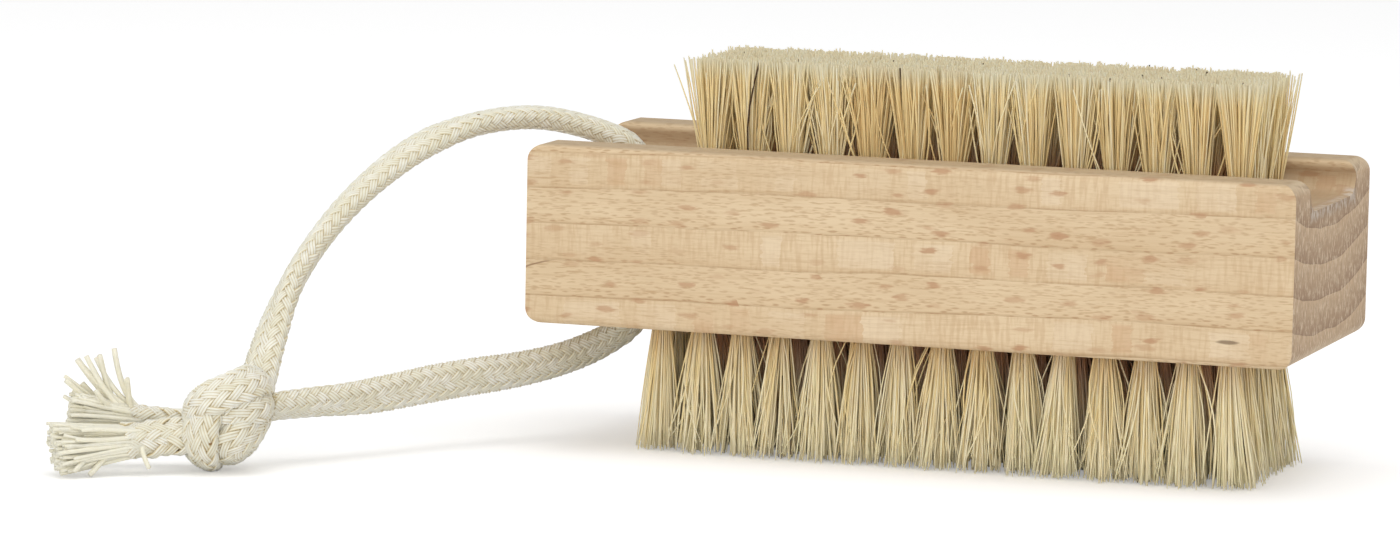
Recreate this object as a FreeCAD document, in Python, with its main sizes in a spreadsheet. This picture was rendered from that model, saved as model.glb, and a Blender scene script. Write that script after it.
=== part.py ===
"""Two-sided nail brush: beech block, bristle tufts on wire anchors, braided hanging cord.

Millimetres, +Z up. X runs along the block and Y across it. The origin is under the middle of
the block, on the surface that the lower tufts stand on.
"""
import FreeCAD, Part
import enum
import math
import os

import Sketcher
from FreeCAD import Placement, Rotation, Vector

DRIVING_SIZES = {
    # Block, with a channel along its top between two rails
    "block_length": 96.0,
    "block_width": 38.0,
    "block_height": 22.0,
    "end_corner_radius": 2.0,
    "long_edge_radius": 1.2,
    "rail_width": 7.2,
    "rail_crest_radius": 1.2,
    "channel_depth": 4.0,
    "cut_overrun": 2.0,
    # Tuft holes, on one set of columns for both sides. The outer rows keep the side insets from the
    # block's faces and the channel's walls, and the last column at least the end inset.
    "tuft_hole_diameter": 2.5,
    "tuft_hole_depth": 6.5,
    "cord_to_column": 6.0,
    "end_column_inset": 9.0,
    "column_pitch": 5.1,
    "lower_side_inset": 8.2,
    "upper_side_inset": 4.0,
    # Tufts, folded over their anchors
    "lower_tuft_reach": 15.8,
    "upper_tuft_reach": 10.6,
    "tuft_clearance": 0.05,
    "tuft_tip_gap": 0.3,
    "fold_thickness": 1.0,
    # Flat wire anchors
    "anchor_thickness": 0.35,
    "anchor_height": 1.6,
    "anchor_bite": 0.3,
    # Cord and the hole that it runs through
    "cord_diameter": 3.8,
    "cord_clearance": 0.4,
    "cord_hole_inset": 9.0,
    "cord_hole_easing": 0.8,
    # Knot and frayed cord ends
    "knot_length": 12.4,
    "knot_depth": 11.0,
    "knot_height": 12.0,
    "knot_floor_gap": 0.2,
    "tail_length": 7.5,
    "tail_width": 5.0,
    "tail_thickness": 3.0,
    "long_fray_length": 18.5,
    "short_fray_length": 17.0,
    "fray_end_width": 6.8,
    "fray_end_thickness": 4.2,
}

# Rows of tufts across the block, and columns that the upper side leaves out next to the cord
COUNTS = {
    "lower_row_count": 5,
    "upper_row_count": 4,
    "upper_skipped_count": 1,
}

# Routes of the cord's two free stretches, from inside the hole to the knot
UPPER_ROUTE = [
    (-39.0, 0.0, 28.5),
    (-39.0, 0.0, 36.0),
    (-46.5, -0.5, 38.5),
    (-53.5, -6.5, 40.5),
    (-61.0, -17.0, 37.5),
    (-67.5, -26.0, 31.5),
    (-71.5, -34.0, 23.5),
    (-73.3, -40.0, 15.8),
    (-73.5, -45.0, 10.0),
]
LOWER_ROUTE = [
    (-39.0, 0.0, 21.5),
    (-39.0, 0.0, 14.5),
    (-45.0, -1.5, 11.0),
    (-50.0, -10.5, 8.0),
    (-57.0, -21.5, 8.5),
    (-63.5, -32.5, 6.5),
    (-69.0, -41.0, 7.4),
    (-71.3, -44.8, 6.6),
]
KNOT_PLACE = (-74.5, -49.0)
# Where each frayed end starts, in shares of the knot's length, depth and height from its middle,
# and the ways that its length and its broad side run
FRAY_START_SHARES = [(-0.18, -0.23, -0.14), (-0.27, 0.15, 0.05)]
FRAY_HEADINGS = [(-0.80, -0.60, -0.07), (-0.90, -0.43, 0.0)]
FRAY_BROAD_WAYS = [(-0.23, 0.63, 0.74), (0.26, -0.80, 0.53)]

# Share of a cord's shorter run that an arc takes up on each side of a turn
BEND_SHARE = 0.45

# Places worked out from the sheet, as expressions on its cells
CORD_HOLE_DIAMETER = "(Sizes.cord_diameter + 2 * Sizes.cord_clearance)"
CORD_HOLE_X = "(Sizes.cord_hole_inset - Sizes.block_length / 2)"
CHANNEL_FLOOR = "(Sizes.block_height - Sizes.channel_depth)"
CHANNEL_WIDTH = "(Sizes.block_width - 2 * Sizes.rail_width)"
COVE_RADIUS = "(Sizes.channel_depth - Sizes.rail_crest_radius)"
TUFT_RADIUS = "(Sizes.tuft_hole_diameter / 2 - Sizes.tuft_clearance)"
GRID_START = f"({CORD_HOLE_X} + Sizes.cord_to_column)"
GRID_SPAN = f"(Sizes.block_length / 2 - Sizes.end_column_inset - {GRID_START})"
COLUMNS = f"(floor({GRID_SPAN} / Sizes.column_pitch) + 1)"
KNOT_MIDDLE = "(Sizes.knot_height / 2 + Sizes.knot_floor_gap)"


class Side:
    """One side's tufts: where its grid starts, its counts, and how its tufts sit and reach."""

    def __init__(self, name, skipped, width, seat, length):
        self.name = name
        self.start = f"({GRID_START} + {skipped} * Sizes.column_pitch)"
        self.columns = f"({COLUMNS} - {skipped})"
        self.rows = f"Sizes.{name}_row_count"
        self.front = f"(Sizes.{name}_side_inset - {width} / 2)"
        self.pitch = f"(-2 * {self.front} / ({self.rows} - 1))"
        self.tip_radius = f"((min(Sizes.column_pitch; {self.pitch}) - Sizes.tuft_tip_gap) / 2)"
        self.seat = seat
        self.length = length


LOWER = Side(
    "lower",
    "0",
    "Sizes.block_width",
    "(Sizes.lower_tuft_reach + Sizes.tuft_hole_depth)",
    "(Sizes.tuft_hole_depth + Sizes.lower_tuft_reach)",
)
UPPER = Side(
    "upper",
    "Sizes.upper_skipped_count",
    CHANNEL_WIDTH,
    f"(Sizes.lower_tuft_reach + {CHANNEL_FLOOR} - Sizes.tuft_hole_depth)",
    "(Sizes.tuft_hole_depth + Sizes.channel_depth + Sizes.upper_tuft_reach)",
)


class Axis(enum.IntEnum):
    """Numbers that stand for a sketch's own axes."""

    HORIZONTAL = -1
    VERTICAL = -2


class Point(enum.IntEnum):
    """Numbers that stand for the points of an edge. An axis starts at the sketch's origin."""

    START = enum.auto()
    END = enum.auto()
    CENTRE = enum.auto()


doc = FreeCAD.newDocument("NailBrush")
sheet = doc.addObject("Spreadsheet::Sheet", "Sizes")
parts = []


def fill_sheet():
    for row, (alias, size) in enumerate((DRIVING_SIZES | COUNTS).items(), start=1):
        sheet.set(f"A{row}", alias)
        sheet.set(f"B{row}", str(size))
        sheet.setAlias(f"B{row}", alias)
    doc.recompute()


def value(expression):
    """The number that an expression on the sheet's cells gives."""
    return float(sheet.evalExpression(expression.replace("Sizes.", "")))


def new_body(label):
    body = doc.addObject("PartDesign::Body", label)
    body.Label = label
    parts.append(body)
    return body


def new_sketch(body, name, plane, **offsets):
    """A sketch on one of the body's origin planes, moved by expressions for x, y and z."""
    sketch = body.newObject("Sketcher::SketchObject", name)
    support = next(feature for feature in body.Origin.OriginFeatures if feature.Role == plane)
    sketch.AttachmentSupport = [(support, "")]
    sketch.MapMode = "FlatFace"
    for axis, expression in offsets.items():
        sketch.setExpression(f"AttachmentOffset.Base.{axis}", expression)
    doc.recompute()
    return sketch


def bind(sketch, kind, references, expression):
    """Add a sized constraint and tie it to an expression."""
    index = sketch.addConstraint(Sketcher.Constraint(kind, *references, value(expression)))
    sketch.setExpression(f"Constraints[{index}]", expression)


def pin(sketch, edge, end, place):
    """Hold one end of an edge at a pair of expressions, measured from the sketch's origin."""
    for kind, axis, expression in zip(("DistanceX", "DistanceY"), (Axis.VERTICAL, Axis.HORIZONTAL), place):
        if expression == "0":
            sketch.addConstraint(Sketcher.Constraint("PointOnObject", edge, end, axis))
        else:
            bind(sketch, kind, (Axis.HORIZONTAL, Point.START, edge, end), expression)


def arc_middle(start, end, radius, turn):
    """The middle of an arc shorter than a half circle that turns left (1) or right (-1)."""
    chord = end - start
    sagitta = radius - math.sqrt(radius**2 - (chord.Length / 2) ** 2)
    outward = Vector(chord.y, -chord.x, 0).normalize() * turn
    return (start + end) / 2 + outward * sagitta


def outline(sketch, places, bends=None):
    """A closed outline through places, each a pair of expressions, beside any that the sketch has.

    bends gives the edges that are arcs: edge number, then radius expression and turn.
    """
    bends = bends or {}
    points = [Vector(value(x), value(y), 0) for x, y in places]
    edges = range(len(points))
    first = sketch.GeometryCount
    joints = []
    for edge in edges:
        start, end = points[edge], points[(edge + 1) % len(points)]
        if edge in bends:
            radius, turn = bends[edge]
            middle = arc_middle(start, end, value(radius), turn)
            sketch.addGeometry(Part.Arc(start, middle, end))
            joints.append((Point.START, Point.END) if turn > 0 else (Point.END, Point.START))
        else:
            sketch.addGeometry(Part.LineSegment(start, end))
            joints.append((Point.START, Point.END))
    for edge in edges:
        before = (edge - 1) % len(points)
        end, start = joints[before][1], joints[edge][0]
        sketch.addConstraint(Sketcher.Constraint("Coincident", first + before, end, first + edge, start))
        pin(sketch, first + edge, start, places[edge])
    for edge, (radius, turn) in bends.items():
        bind(sketch, "Radius", (first + edge,), radius)
    doc.recompute()


def circle(sketch, diameter):
    """A circle on the sketch's origin."""
    sketch.addGeometry(Part.Circle(Vector(), Vector(0, 0, 1), value(diameter) / 2))
    sketch.addConstraint(Sketcher.Constraint("Coincident", 0, Point.CENTRE, Axis.HORIZONTAL, Point.START))
    bind(sketch, "Diameter", (0,), diameter)
    doc.recompute()


def extrude(body, kind, name, sketch, length=None, symmetric=False, reverse=False):
    """A Pad or Pocket from a sketch, through all where no length is given."""
    feature = body.newObject(f"PartDesign::{kind}", name)
    feature.Profile = sketch
    if length:
        feature.setExpression("Length", length)
    else:
        feature.Type = "ThroughAll"
    if symmetric:
        feature.SideType = "Symmetric"
    feature.Reversed = reverse
    doc.recompute()
    return feature


def edge_names(shape, wanted):
    """Names of the edges that a test on an edge picks."""
    return [f"Edge{number}" for number, edge in enumerate(shape.Edges, start=1) if wanted(edge)]


def ease(body, kind, name, base, edges, size_name, size):
    """A Fillet or Chamfer on named edges of a feature."""
    feature = body.newObject(f"PartDesign::{kind}", name)
    feature.Base = (base, edges)
    feature.setExpression(size_name, size)
    doc.recompute()
    return feature


def repeat(body, name, sketch, originals, columns, rows=None, row_pitch=None):
    """Copy features along a sketch's X by the column pitch, and along its Y where rows are given."""
    pattern = body.newObject("PartDesign::LinearPattern", name)
    if originals:
        pattern.Originals = originals
    else:
        pattern.TransformMode = "Whole shape"
    pattern.Direction = (sketch, ["H_Axis"])
    pattern.Mode = "Spacing"
    pattern.setExpression("Offset", "Sizes.column_pitch")
    pattern.setExpression("Occurrences", columns)
    if rows:
        pattern.Direction2 = (sketch, ["V_Axis"])
        pattern.Mode2 = "Extent"
        pattern.setExpression("Length2", f"({rows} - 1) * {row_pitch}")
        pattern.setExpression("Occurrences2", rows)
    body.Tip = pattern
    doc.recompute()
    return pattern


def channel_cut(body):
    """The channel along the top: coved floor edges that run into rounded rail crests."""
    crest = "Sizes.rail_crest_radius"
    half = f"({CHANNEL_WIDTH} / 2 + {crest})"
    width = f"({CHANNEL_WIDTH} + 2 * {crest})"
    wall_turn = f"({CHANNEL_FLOOR} + {COVE_RADIUS})"
    top = "(Sizes.block_height + Sizes.cut_overrun)"
    sketch = new_sketch(body, "channel_section", "YZ_Plane", x=f"-{half}")
    places = [
        (f"({crest} + {COVE_RADIUS})", CHANNEL_FLOOR),
        (f"({width} - {crest} - {COVE_RADIUS})", CHANNEL_FLOOR),
        (f"({width} - {crest})", wall_turn),
        (width, "Sizes.block_height"),
        (width, top),
        ("0", top),
        ("0", "Sizes.block_height"),
        (crest, wall_turn),
    ]
    bends = {1: (COVE_RADIUS, 1), 2: (crest, -1), 6: (crest, -1), 7: (COVE_RADIUS, 1)}
    outline(sketch, places, bends)
    extrude(body, "Pocket", "channel", sketch, "2 * Sizes.block_length", symmetric=True)


def drill_tufts(body, side, height, depth, reverse):
    """One side's grid of blind tuft holes, drilled to a depth from a height."""
    sketch = new_sketch(body, f"{side.name}_hole", "XY_Plane", x=side.start, y=side.front, z=height)
    circle(sketch, "Sizes.tuft_hole_diameter")
    hole = extrude(body, "Pocket", f"{side.name}_tuft_hole", sketch, depth, reverse=reverse)
    repeat(body, f"{side.name}_tuft_holes", sketch, [hole], side.columns, side.rows, side.pitch)


def moulded_strip(body):
    """The strip that the block is sawn from, with its long edges rounded."""
    width, height, radius = "Sizes.block_width", "Sizes.block_height", "Sizes.long_edge_radius"
    right, top = f"({width} - {radius})", f"({height} - {radius})"
    section = new_sketch(body, "strip_section", "YZ_Plane", x=f"-{width} / 2")
    places = [
        (radius, "0"), (right, "0"), (width, radius), (width, top),
        (right, height), (radius, height), ("0", top), ("0", radius),
    ]
    outline(section, places, {edge: (radius, 1) for edge in (1, 3, 5, 7)})
    extrude(body, "Pad", "strip", section, "Sizes.block_length", symmetric=True)


def round_end_corners(body):
    """The corners of both sawn ends, rounded as seen from the side."""
    overrun, radius = "Sizes.cut_overrun", "Sizes.end_corner_radius"
    low, reach = overrun, f"({overrun} + {radius})"
    sketch = new_sketch(
        body, "end_corner_section", "XZ_Plane", x=f"-Sizes.block_length / 2 - {overrun}", y=f"-{overrun}"
    )
    far_x, far_z = (f"(Sizes.block_{size} + 2 * {overrun})" for size in ("length", "height"))
    for mirror_x in (False, True):
        for mirror_z in (False, True):
            places = [("0", "0"), (reach, "0"), (reach, low), (low, reach), ("0", reach)]
            if mirror_x:
                places = [(f"({far_x} - {x})" if x != "0" else far_x, z) for x, z in places]
            if mirror_z:
                places = [(x, f"({far_z} - {z})" if z != "0" else far_z) for x, z in places]
            outline(sketch, places, {2: (radius, -1 if mirror_x == mirror_z else 1)})
    extrude(body, "Pocket", "end_corners", sketch, "2 * Sizes.block_width", symmetric=True)


def rims_cord_hole(edge):
    """Whether an edge is a mouth of the cord hole."""
    round_rim = edge.isClosed() and edge.Curve.TypeId == "Part::GeomCircle"
    return round_rim and math.isclose(2 * edge.Curve.Radius, value(CORD_HOLE_DIAMETER))


def make_block():
    body = new_body("handle_block")
    body.setExpression("Placement.Base.z", "Sizes.lower_tuft_reach")

    moulded_strip(body)
    channel_cut(body)
    round_end_corners(body)

    mouth = new_sketch(body, "cord_hole_section", "XY_Plane", x=CORD_HOLE_X)
    circle(mouth, CORD_HOLE_DIAMETER)
    bore = extrude(body, "Pocket", "cord_hole", mouth, reverse=True)
    rims = edge_names(bore.Shape, rims_cord_hole)
    ease(body, "Chamfer", "cord_hole_mouths", bore, rims, "Size", "Sizes.cord_hole_easing")

    depth = "Sizes.tuft_hole_depth"
    drill_tufts(body, LOWER, "0", depth, reverse=True)
    drill_tufts(body, UPPER, "Sizes.block_height", f"(Sizes.channel_depth + {depth})", reverse=False)


def new_row(side, piece, row):
    """A body for one row of a side, at the bottom of its holes and upside down on the lower side."""
    body = new_body(f"{side.name}_{piece}_row_{row + 1}")
    if side is LOWER:
        body.Placement = Placement(Vector(), Rotation(Vector(1, 0, 0), 180))
    body.setExpression("Placement.Base.x", side.start)
    body.setExpression("Placement.Base.y", f"{side.front} + {row} * {side.pitch}")
    body.setExpression("Placement.Base.z", side.seat)
    return body


def make_tuft_row(side, row):
    """A row of tufts: a tight root in the hole, an anchor slot above the fold, flared to the tips."""
    body = new_row(side, "tuft", row)
    half = new_sketch(body, f"{side.name}_{row}_tuft_half", "XZ_Plane")
    depth, top = "Sizes.tuft_hole_depth", side.length
    outline(half, [("0", "0"), (TUFT_RADIUS, "0"), (TUFT_RADIUS, depth), (side.tip_radius, top), ("0", top)])
    tuft = body.newObject("PartDesign::Revolution", f"{side.name}_{row}_tuft")
    tuft.Profile = half
    tuft.ReferenceAxis = (half, ["V_Axis"])
    doc.recompute()

    gap = "Sizes.tuft_clearance"
    width = f"(Sizes.anchor_thickness + 2 * {gap})"
    low, high = f"(Sizes.fold_thickness - {gap})", f"(Sizes.fold_thickness + Sizes.anchor_height + {gap})"
    slot = new_sketch(body, f"{side.name}_{row}_slot", "YZ_Plane", x=f"-{width} / 2")
    outline(slot, [("0", low), (width, low), (width, high), ("0", high)])
    across = "2 * Sizes.tuft_hole_diameter"
    extrude(body, "Pocket", f"{side.name}_{row}_anchor_slot", slot, across, symmetric=True)
    repeat(body, f"{side.name}_{row}_tufts", half, None, side.columns)


def make_anchor_row(side, row):
    """A row of flat wire anchors that bite into the wood across their holes."""
    body = new_row(side, "anchor", row)
    width = "(Sizes.tuft_hole_diameter + 2 * Sizes.anchor_bite)"
    low, high = "Sizes.fold_thickness", "(Sizes.fold_thickness + Sizes.anchor_height)"
    plate = new_sketch(body, f"{side.name}_{row}_plate", "XZ_Plane", x=f"-{width} / 2")
    outline(plate, [("0", low), (width, low), (width, high), ("0", high)])
    extrude(body, "Pad", f"{side.name}_{row}_anchor", plate, "Sizes.anchor_thickness", symmetric=True)
    repeat(body, f"{side.name}_{row}_anchors", plate, None, side.columns)


def rounded_route(label, route):
    """A wire of straight runs joined by tangent arcs as large as the runs allow."""
    points = [Vector(*place) for place in route]
    edges, radii, last = [], [], points[0]
    for before, corner, after in zip(points, points[1:], points[2:]):
        inward, onward = (corner - before), (after - corner)
        turn = inward.getAngle(onward)
        setback = BEND_SHARE * min(inward.Length, onward.Length)
        radius = setback / math.tan(turn / 2)
        inward.normalize()
        onward.normalize()
        arc_start, arc_end = corner - inward * setback, corner + onward * setback
        sag = radius / math.cos(turn / 2) - radius
        arc_top = corner + (onward - inward).normalize() * sag
        edges.append(Part.LineSegment(last, arc_start).toShape())
        edges.append(Part.Arc(arc_start, arc_top, arc_end).toShape())
        radii.append(round(radius, 1))
        last = arc_end
    edges.append(Part.LineSegment(last, points[-1]).toShape())
    print(label, "bend radii", radii)
    return Part.Wire(edges)


def add_shape(label, shape):
    feature = doc.addObject("Part::Feature", label)
    feature.Label = label
    feature.Shape = shape
    feature.Placement = Placement()
    parts.append(feature)


def make_cord_stretch(label, route):
    """One free stretch of the cord, as a plain tube along its route."""
    wire = rounded_route(label, route)
    radius = value("Sizes.cord_diameter / 2")
    heading = Vector(*route[1]) - Vector(*route[0])
    section = Part.Wire(Part.Circle(Vector(*route[0]), heading, radius).toShape())
    tube = wire.makePipeShell([section], True, True)
    expected = math.pi * radius**2 * wire.Length
    print(label, "length", round(wire.Length, 1), "volume share", round(tube.Volume / expected, 4))
    add_shape(label, tube)


def make_cord_in_hole():
    """The straight stretch of cord inside the block, between the two free stretches."""
    low, high = LOWER_ROUTE[0], UPPER_ROUTE[0]
    core = doc.addObject("Part::Cylinder", "cord_in_hole")
    core.Label = "cord_in_hole"
    core.setExpression("Radius", "Sizes.cord_diameter / 2")
    core.Height = high[2] - low[2]
    core.Placement = Placement(Vector(*low), Rotation())
    parts.append(core)


def make_knot():
    knot = doc.addObject("Part::Ellipsoid", "cord_knot")
    knot.Label = "cord_knot"
    knot.setExpression("Radius1", "Sizes.knot_height / 2")
    knot.setExpression("Radius2", "Sizes.knot_length / 2")
    knot.setExpression("Radius3", "Sizes.knot_depth / 2")
    knot.Placement = Placement(Vector(*KNOT_PLACE, 0), Rotation())
    knot.setExpression("Placement.Base.z", KNOT_MIDDLE)
    parts.append(knot)


def make_frayed_end(number, length, shares, heading, broad_way):
    """A cut cord end, from inside the knot: a flat plaited tail that opens into a blunt bundle of yarn."""
    label = f"frayed_end_{number}"
    way = Vector(*heading).normalize()
    turn = Rotation(Vector(*broad_way), Vector(), way, "ZXY")
    starts = (*(str(place) for place in KNOT_PLACE), KNOT_MIDDLE)
    knot_sizes = ("length", "depth", "height")
    stations = [("0", "tail"), ("Sizes.tail_length", "tail"), (length, "fray_end")]
    sections = []
    for reach, size in stations:
        section = doc.addObject("Part::Ellipse", f"{label}_section_{len(sections)}")
        section.setExpression("MajorRadius", f"Sizes.{size}_width / 2")
        section.setExpression("MinorRadius", f"Sizes.{size}_thickness / 2")
        section.Placement = Placement(Vector(), turn)
        for axis, start, share, knot_size, step in zip("xyz", starts, shares, knot_sizes, way):
            place = f"{start} + {share} * Sizes.knot_{knot_size} + {step} * {reach}"
            section.setExpression(f"Placement.Base.{axis}", place)
        sections.append(section)
    end = doc.addObject("Part::Loft", label)
    end.Label = label
    end.Sections = sections
    end.Solid = True
    end.Ruled = True
    doc.recompute()
    parts.append(end)


def write_parts():
    """Check every object and sub-part, then write one file for each sub-part."""
    doc.recompute()
    failed = [item.Name for item in doc.Objects if {"Invalid", "Error"} & set(item.State)]
    failed += [part.Label for part in parts if part.Shape.isNull() or not part.Shape.isValid()]
    if failed:
        raise RuntimeError(f"failed objects: {failed}")
    os.makedirs("parts", exist_ok=True)
    for part in parts:
        box = part.Shape.BoundBox
        print(
            part.Label, len(part.Shape.Solids), "solids", round(part.Shape.Volume, 1), "mm3",
            [round(side, 2) for side in (box.XMin, box.XMax, box.YMin, box.YMax, box.ZMin, box.ZMax)],
        )
        part.Shape.exportStep(f"parts/{part.Label}.step")


fill_sheet()
make_block()
for side in (LOWER, UPPER):
    for row in range(int(value(side.rows))):
        make_tuft_row(side, row)
        make_anchor_row(side, row)
make_cord_stretch("cord_upper_strand", UPPER_ROUTE)
make_cord_in_hole()
make_cord_stretch("cord_lower_strand", LOWER_ROUTE)
make_knot()
fray_lengths = ("Sizes.long_fray_length", "Sizes.short_fray_length")
fray_ways = zip(fray_lengths, FRAY_START_SHARES, FRAY_HEADINGS, FRAY_BROAD_WAYS)
for number, places in enumerate(fray_ways, start=1):
    make_frayed_end(number, *places)
write_parts()
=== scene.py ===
# %% [markdown]
# # A two-sided nail brush
# A beech block carries long bristle tufts below and short ones above. A braided cotton cord runs
# through a hole in one end and is tied in a knot, with its two ends frayed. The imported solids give
# every place and size, and this script gives them their looks: wood grain, single bristles, a real
# plait and loose yarn.

# %% Load the frame
import math

import bpy
import numpy as np
from mathutils import Matrix, Vector


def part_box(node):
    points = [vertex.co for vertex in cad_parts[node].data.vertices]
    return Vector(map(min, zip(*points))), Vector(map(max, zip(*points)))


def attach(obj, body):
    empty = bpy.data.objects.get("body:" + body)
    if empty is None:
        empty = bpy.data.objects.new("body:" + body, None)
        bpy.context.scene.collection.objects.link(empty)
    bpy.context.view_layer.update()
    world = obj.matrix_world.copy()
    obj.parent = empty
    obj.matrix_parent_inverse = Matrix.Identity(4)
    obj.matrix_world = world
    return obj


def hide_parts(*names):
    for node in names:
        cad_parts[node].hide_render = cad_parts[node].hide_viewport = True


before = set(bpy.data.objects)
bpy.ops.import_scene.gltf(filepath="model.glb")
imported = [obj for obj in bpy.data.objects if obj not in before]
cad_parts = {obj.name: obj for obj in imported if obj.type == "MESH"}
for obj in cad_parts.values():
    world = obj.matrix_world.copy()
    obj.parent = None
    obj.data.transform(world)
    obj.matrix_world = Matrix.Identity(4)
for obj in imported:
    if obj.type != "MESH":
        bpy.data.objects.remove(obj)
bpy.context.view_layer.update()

MM = 0.001

# %% [markdown]
# ## Camera
# A product photograph like this is taken from some way off with a long lens, so that the block's edges
# stay almost parallel. The camera could be aimed with a constraint, but three turned axes are exact:
# right, up and towards the camera. The slight roll tips the right end of the brush down.

# %% Camera
VIEW_AZIMUTH, VIEW_ELEVATION, VIEW_ROLL = (math.radians(angle) for angle in (18.589, 7.085, 1.117))
CAMERA_PLACE = Vector((0.23094, -0.78168, 0.12342))
SENSOR_WIDTH, LENS_LENGTH = 36.0, 172.43
BLOCK_MIDDLE = Vector((0, 0, 0.027))

level_right = Vector((math.cos(VIEW_AZIMUTH), math.sin(VIEW_AZIMUTH), 0))
to_camera = Vector((
    math.sin(VIEW_AZIMUTH) * math.cos(VIEW_ELEVATION),
    -math.cos(VIEW_AZIMUTH) * math.cos(VIEW_ELEVATION),
    math.sin(VIEW_ELEVATION),
))
level_up = to_camera.cross(level_right)
view_right = level_right * math.cos(VIEW_ROLL) + level_up * math.sin(VIEW_ROLL)
view_up = level_up * math.cos(VIEW_ROLL) - level_right * math.sin(VIEW_ROLL)

lens = bpy.data.cameras.new("camera")
lens.sensor_fit = "HORIZONTAL"
lens.sensor_width = SENSOR_WIDTH
lens.lens = LENS_LENGTH
camera = bpy.data.objects.new("camera", lens)
turn = Matrix((view_right, view_up, to_camera)).transposed().to_4x4()
camera.matrix_world = Matrix.Translation(CAMERA_PLACE) @ turn
bpy.context.scene.collection.objects.link(camera)
bpy.context.scene.camera = camera
print("camera", round((CAMERA_PLACE - BLOCK_MIDDLE).length, 3), "m from the block")

# %% [markdown]
# ## Shader maths
# Every finish here is worked out from the place on the surface, so a small class wraps a node's
# output. Python's operators then add Math nodes, and one method adds any other node. A finish reads
# like a formula instead of a list of links.

# %% A socket that Python can add and multiply
class Socket:
    """An output in a material's node tree."""

    def __init__(self, tree, output):
        self.tree = tree
        self.output = output

    def add(self, kind, settings=(), inputs=(), output=0):
        """Add a node: its settings first, then values or links for its inputs."""
        node = self.tree.nodes.new("ShaderNode" + kind)
        for name, value in dict(settings).items():
            setattr(node, name, value)
        for name, value in dict(inputs).items():
            if isinstance(value, Socket):
                self.tree.links.new(value.output, node.inputs[name])
            else:
                node.inputs[name].default_value = value
        return Socket(self.tree, node.outputs[output])

    def maths(self, operation, *values):
        return self.add("Math", {"operation": operation}, enumerate(values))

    def __add__(self, other):
        return self.maths("ADD", self, other)

    def __sub__(self, other):
        return self.maths("SUBTRACT", self, other)

    def __rsub__(self, other):
        return self.maths("SUBTRACT", other, self)

    def __mul__(self, other):
        return self.maths("MULTIPLY", self, other)

    def __truediv__(self, other):
        return self.maths("DIVIDE", self, other)

    def __rtruediv__(self, other):
        return self.maths("DIVIDE", other, self)

    def __pow__(self, other):
        return self.maths("POWER", self, other)

    def __rpow__(self, other):
        return self.maths("POWER", other, self)

    def __abs__(self):
        return self.maths("ABSOLUTE", self)

    __radd__ = __add__
    __rmul__ = __mul__

    def step(self, low, high):
        """A smooth rise from 0 at low to 1 at high."""
        inputs = {0: self, 1: low, 2: high, 3: 0.0, 4: 1.0}
        return self.add("MapRange", {"interpolation_type": "SMOOTHSTEP"}, inputs)

    def mix(self, low, high):
        """The colour between low and high that this value picks."""
        return self.add("Mix", {"data_type": "RGBA"}, {0: self, 6: low, 7: high}, 2)

    def stretch(self, x, y, z):
        """This place with each axis multiplied."""
        return self.add("VectorMath", {"operation": "MULTIPLY"}, {0: self, 1: (x, y, z)})

    def axes(self):
        """The X, Y and Z of this place."""
        return [self.add("SeparateXYZ", (), {0: self}, axis) for axis in range(3)]

    def grain(self, scale, detail=2.0, roughness=0.5):
        """Noise over this place, about 0.5 on average."""
        inputs = {"Vector": self, "Scale": scale, "Detail": detail, "Roughness": roughness}
        return self.add("TexNoise", {"noise_dimensions": "3D"}, inputs)

    def mark(self, name):
        """A number that every point of a mesh carries."""
        return self.add("Attribute", {"attribute_name": name}, (), 2)

    def bump(self, height, strength):
        """A normal for a surface that is raised by this value, in metres for a value of 1."""
        return self.add("Bump", (), {"Height": self, "Distance": height, "Strength": strength})


# %% New finishes
def tint(red, green, blue):
    """A colour as seen on a screen, from 0 to 255, as Blender's linear colour."""
    shares = (red / 255, green / 255, blue / 255)
    return (*(x / 12.92 if x <= 0.04045 else ((x + 0.055) / 1.055) ** 2.4 for x in shares), 1.0)


def new_finish(name):
    """A material, and the place on its surface in millimetres."""
    material = bpy.data.materials.new(name)
    material.use_nodes = True
    tree = material.node_tree
    start = Socket(tree, tree.nodes.new("ShaderNodeTexCoord").outputs["Object"])
    return material, start.stretch(1 / MM, 1 / MM, 1 / MM)


def set_surface(material, **inputs):
    """Set or link the inputs of a material's surface, with _ for a space in a name."""
    surface = material.node_tree.nodes["Principled BSDF"]
    for name, value in inputs.items():
        socket = surface.inputs[name.replace("_", " ")]
        if isinstance(value, Socket):
            material.node_tree.links.new(value.output, socket)
        else:
            socket.default_value = value
    print(material.name, len(material.node_tree.nodes), "nodes")


# %% [markdown]
# ## Floor and light
# The brush stands in a white studio. The floor is pale and keeps a faint soft shadow. It glows a little
# for the camera and in reflections alone, so that it looks white while no extra light falls on the brush.
# One sun would throw hard shadows between the tufts. Four large lamps do better, from above, from the
# left, low in front and as a weak fill from the right. With a pale world around them they give the soft
# light of a light tent.

# %% Floor
FLOOR_SIZE = 8.0
FLOOR_GLOW = 0.30

half = FLOOR_SIZE / 2
floor_corners = [(-half, -half, 0), (half, -half, 0), (half, half, 0), (-half, half, 0)]
floor_mesh = bpy.data.meshes.new("floor")
floor_mesh.from_pydata(floor_corners, [], [(0, 1, 2, 3)])
floor = bpy.data.objects.new("floor", floor_mesh)
bpy.context.scene.collection.objects.link(floor)

floor_paper, floor_place = new_finish("floor_paper")
paper_grain = floor_place.grain(0.4)
seen_ray = floor_place.add("LightPath", (), (), "Is Camera Ray")
for kind in ("Is Glossy Ray", "Is Transmission Ray"):
    seen_ray = seen_ray + floor_place.add("LightPath", (), (), kind)
set_surface(
    floor_paper,
    Base_Color=paper_grain.mix(tint(243, 243, 243), tint(247, 247, 247)),
    Roughness=0.9,
    Emission_Color=seen_ray.mix((0, 0, 0, 1), (1, 1, 1, 1)),
    Emission_Strength=FLOOR_GLOW,
)
floor_mesh.materials.append(floor_paper)

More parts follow.
